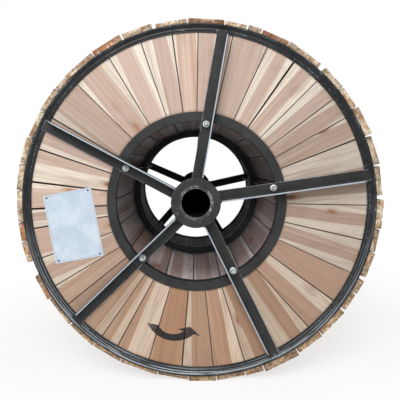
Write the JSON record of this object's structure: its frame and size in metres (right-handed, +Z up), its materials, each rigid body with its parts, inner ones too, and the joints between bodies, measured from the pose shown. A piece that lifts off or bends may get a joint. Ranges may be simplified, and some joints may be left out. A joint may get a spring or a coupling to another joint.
{
  "type": "cable drum",
  "caption": "Steel-framed wooden cable drum: boarded flanges in pressed rims, angle-bar spokes on a centre tube, an open staved barrel, and lagging battens that close the winding space.",
  "frame": {"origin": "centre of the spindle bore, midway between the flanges", "axes": "+Y along the drum's axis from the front flange to the rear one, +Z up with the drum lying on its lagging, +X to the right as seen from the front"},
  "size_m": [1.6567, 1.224, 1.6466],
  "materials": {
    "painted_steel": "worn dull charcoal paint",
    "zinc_plated_steel": "dull zinc plating",
    "flange_wood": "rough sawn softwood",
    "stave_wood": "rough sawn softwood, greyed",
    "lagging_wood": "rough sawn softwood",
    "laminated_sheet": "laminated paper"
  },
  "bodies": {
    "root": {"front_rim": "painted_steel", "front_inner_ring": "painted_steel", "front_hub_plate": "painted_steel", "front_spoke_1": "painted_steel", "front_spoke_2": "painted_steel", "front_spoke_3": "painted_steel", "front_spoke_4": "painted_steel", "front_spoke_5": "painted_steel", "front_boards_1": "flange_wood", "front_boards_2": "flange_wood", "front_boards_3": "flange_wood", "front_boards_4": "flange_wood", "front_boards_5": "flange_wood", "front_washers": "zinc_plated_steel", "front_nuts": "zinc_plated_steel", "rear_rim": "painted_steel", "rear_inner_ring": "painted_steel", "rear_hub_plate": "painted_steel", "rear_spoke_1": "painted_steel", "rear_spoke_2": "painted_steel", "rear_spoke_3": "painted_steel", "rear_spoke_4": "painted_steel", "rear_spoke_5": "painted_steel", "rear_boards_1": "flange_wood", "rear_boards_2": "flange_wood", "rear_boards_3": "flange_wood", "rear_boards_4": "flange_wood", "rear_boards_5": "flange_wood", "rear_washers": "zinc_plated_steel", "rear_nuts": "zinc_plated_steel", "centre_tube": "painted_steel", "middle_ring": "painted_steel", "tie_rod_1": "zinc_plated_steel", "tie_rod_2": "zinc_plated_steel", "tie_rod_3": "zinc_plated_steel", "tie_rod_4": "zinc_plated_steel", "tie_rod_5": "zinc_plated_steel", "barrel_staves_1": "stave_wood", "barrel_staves_2": "stave_wood", "barrel_staves_3": "stave_wood", "barrel_staves_4": "stave_wood", "lagging_1": "lagging_wood", "lagging_2": "lagging_wood", "lagging_3": "lagging_wood", "lagging_4": "lagging_wood", "lagging_5": "lagging_wood", "packing_sheet": "laminated_sheet"}
  },
  "joints": []
}
